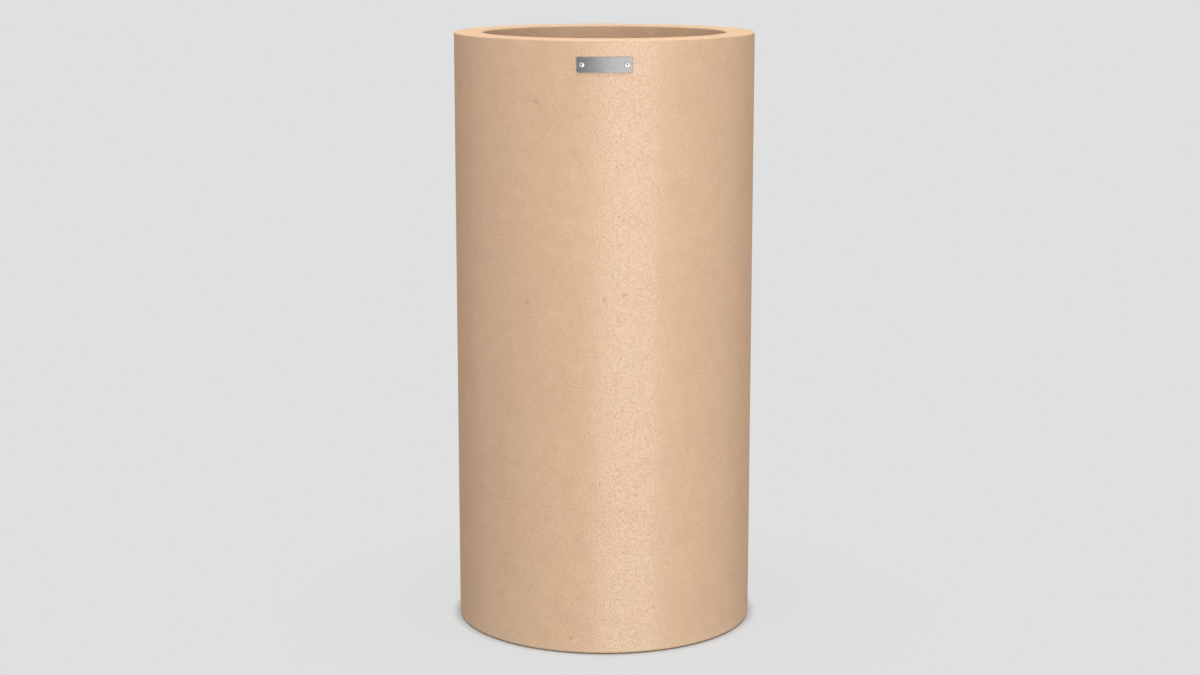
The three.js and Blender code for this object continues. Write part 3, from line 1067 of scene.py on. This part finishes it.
def pinOutline():
    r = rivet
    edge = r["pinHeadEdge"]
    shoulder = r["grip"] - r["bulgeLength"] - seatGap
    tip = shoulder - r["pinHeadLength"]
    broken = r["seat"] + r["headHeight"] - r["pinRecess"]
    points = [(0, tip)]
    points += arc((r["pinHeadRadius"] - edge, tip + edge), edge, -90, 0, 4)
    points += [(r["pinHeadRadius"], shoulder), (r["pinRadius"], shoulder)]
    points += [(r["pinRadius"] * share, broken - depth) for share, depth in r["pinBreak"]]
    return points


rivetPlaces = [((0, 0, plate["centre"]), side * rivetAngle) for side in (-1, 1)]
squareOut = math.pi / 2

rivetRows = withRows(rivetOutline(), rivet["rowSpacing"], rivet["guard"])
rivetShape = turnPiece("rivetShape", rivetRows, rivetAluminium, rivet["around"])
rivets = setShape("blindRivets", rivetShape, rivetPlaces, squareOut, rivetAluminium)
dress(rivets, "planter", "rivet_aluminium", "rivet_left", "rivet_right")

pinRows = withRows(pinOutline(), rivet["rowSpacing"], rivet["guard"], closed=False)
pinShape = turnPiece("pinShape", pinRows, mandrelSteel, rivet["pinAround"], closed=False)
pins = setShape("rivetPins", pinShape, rivetPlaces, squareOut, mandrelSteel)
dress(pins, "planter", "mandrel_steel", "rivet_mandrel_left", "rivet_mandrel_right")


# the rivet holes are drilled through the shell's wall

def drillShell():
    radius = plate["holeRadius"]
    start = shell["radius"] - rivet["drillLength"] / 2
    end = start + rivet["drillLength"]
    outline = [(0, start), (radius, start), (radius, end), (0, end)]
    shape = turnPiece("drillShape", outline, sandGelcoat, rivet["pinAround"], closed=False)
    drill = setShape("drill", shape, rivetPlaces, squareOut, sandGelcoat)
    modifier = shellPiece.modifiers.new("rivetHoles", "BOOLEAN")
    modifier.object = drill
    modifier.operation = "DIFFERENCE"
    modifier.solver = "MANIFOLD"
    bakeModifiers(shellPiece)
    bpy.data.objects.remove(drill)


drillShell()
dress(shellPiece, "planter", "sand_gelcoat", "shell")


# light

studio = {
    "backdrop": 0.7454,          # the even pale grey behind the planter
    "ambient": 0.24,
    "aim": Vector((0, 0, 0.42)),
}

# azimuth is 0 in front of the planter and grows to its right; angle and metres, then watts
softboxes = {
    "keyBox": {"azimuth": 18, "distance": 3.7, "rise": -0.5, "size": (2.9, 3.2), "power": 62},
    "keyWings": {"azimuth": 20, "distance": 3.8, "rise": -0.5, "size": (4.8, 3.2), "power": 34},
    "leftBox": {"azimuth": -100, "distance": 3.7, "rise": 0.0, "size": (1.3, 3.5), "power": 26},
    "topBox": {"azimuth": 10, "distance": 0.6, "rise": 3.2, "size": (3.0, 3.0), "power": 112},
    "frontFill": {"azimuth": -12, "distance": 3.6, "rise": 2.2, "size": (2.4, 2.0), "power": 36},
    "backFill": {"azimuth": 160, "distance": 4.0, "rise": 0.3, "size": (3.5, 3.0), "power": 55},
}
softFills = ["leftBox", "topBox", "frontFill", "backFill"]     # these leave no highlight on the planter


def makeSoftbox(name, box):
    light = bpy.data.lights.new(name, "AREA")
    light.shape = "RECTANGLE"
    light.size, light.size_y = box["size"]
    light.energy = box["power"]
    holder = bpy.data.objects.new(name, light)
    angle = math.radians(box["azimuth"])
    height = studio["aim"].z + box["rise"]
    holder.location = (box["distance"] * math.sin(angle), -box["distance"] * math.cos(angle), height)
    holder.rotation_euler = (studio["aim"] - holder.location).to_track_quat("-Z", "Y").to_euler()
    holder.visible_camera = False
    holder.visible_glossy = name not in softFills
    bpy.context.scene.collection.objects.link(holder)


def seenRays(tree):
    # 1 for the rays that should meet the plain backdrop: camera, glossy and transmission
    rays = addNode(tree, "ShaderNodeLightPath").outputs
    seen = calc(tree, "MAXIMUM", rays["Is Camera Ray"], rays["Is Glossy Ray"])
    return calc(tree, "MAXIMUM", seen, rays["Is Transmission Ray"])


def makeWorld():
    world = bpy.data.worlds.new("studio")
    bpy.context.scene.world = world
    world.use_nodes = True
    tree = world.node_tree
    levels = {0: seenRays(tree), 3: studio["ambient"], 4: studio["backdrop"]}
    level = addNode(tree, "ShaderNodeMapRange", levels)
    tree.links.new(level.outputs[0], tree.nodes["Background"].inputs["Strength"])
    tree.nodes["Background"].inputs["Color"].default_value = tint(1, 1, 1)


floorSheet = {
    "radius": 9.0,
    "segments": 96,
    "contact": (0.197, 0.216),      # under the planter the floor is all shadow, and just outside mostly glow
    "shadowShare": 0.12,
    "shadowReach": (0.2, 0.5),      # what shadow is left fades out between these distances from the axis
    "albedo": 0.6,
}


def makeFloor():
    material = bpy.data.materials.new("floorSheet")
    material.use_nodes = True
    tree = material.node_tree
    tree.nodes.clear()
    glow = addNode(tree, "ShaderNodeEmission", {"Color": tint(1, 1, 1), "Strength": studio["backdrop"]})
    albedo = floorSheet["albedo"]
    paint = addNode(tree, "ShaderNodeBsdfDiffuse", {"Color": tint(albedo, albedo, albedo)})
    clear = addNode(tree, "ShaderNodeBsdfTransparent")
    place = addNode(tree, "ShaderNodeTexCoord").outputs["Object"]
    reach = addNode(tree, "ShaderNodeVectorMath", {0: place}, operation="LENGTH").outputs["Value"]
    under = remap(tree, reach, *floorSheet["contact"], 1.0, 0.0)
    around = remap(tree, reach, *floorSheet["shadowReach"], floorSheet["shadowShare"], 0.0)
    share = calc(tree, "MAXIMUM", under, around)
    surface = addNode(tree, "ShaderNodeMixShader", {0: share, 1: glow.outputs[0], 2: paint.outputs[0]})
    below = addNode(tree, "ShaderNodeNewGeometry").outputs["Backfacing"]
    surface = addNode(tree, "ShaderNodeMixShader", {0: below, 1: surface.outputs[0], 2: clear.outputs[0]})
    addNode(tree, "ShaderNodeOutputMaterial", {0: surface.outputs[0]})
    work = bmesh.new()
    bmesh.ops.create_circle(
        work, cap_ends=True, segments=floorSheet["segments"], radius=floorSheet["radius"],
    )
    mesh = bpy.data.meshes.new("floorSheet")
    work.to_mesh(mesh)
    work.free()
    mesh.materials.append(material)
    floor = newPiece("floorSheet", mesh)
    floor.visible_diffuse = False
    floor.visible_glossy = False
    floor.visible_shadow = False


makeWorld()
makeFloor()
for name, box in softboxes.items():
    makeSoftbox(name, box)
bpy.context.scene.view_settings.view_transform = "Standard"
print("light and floor set")
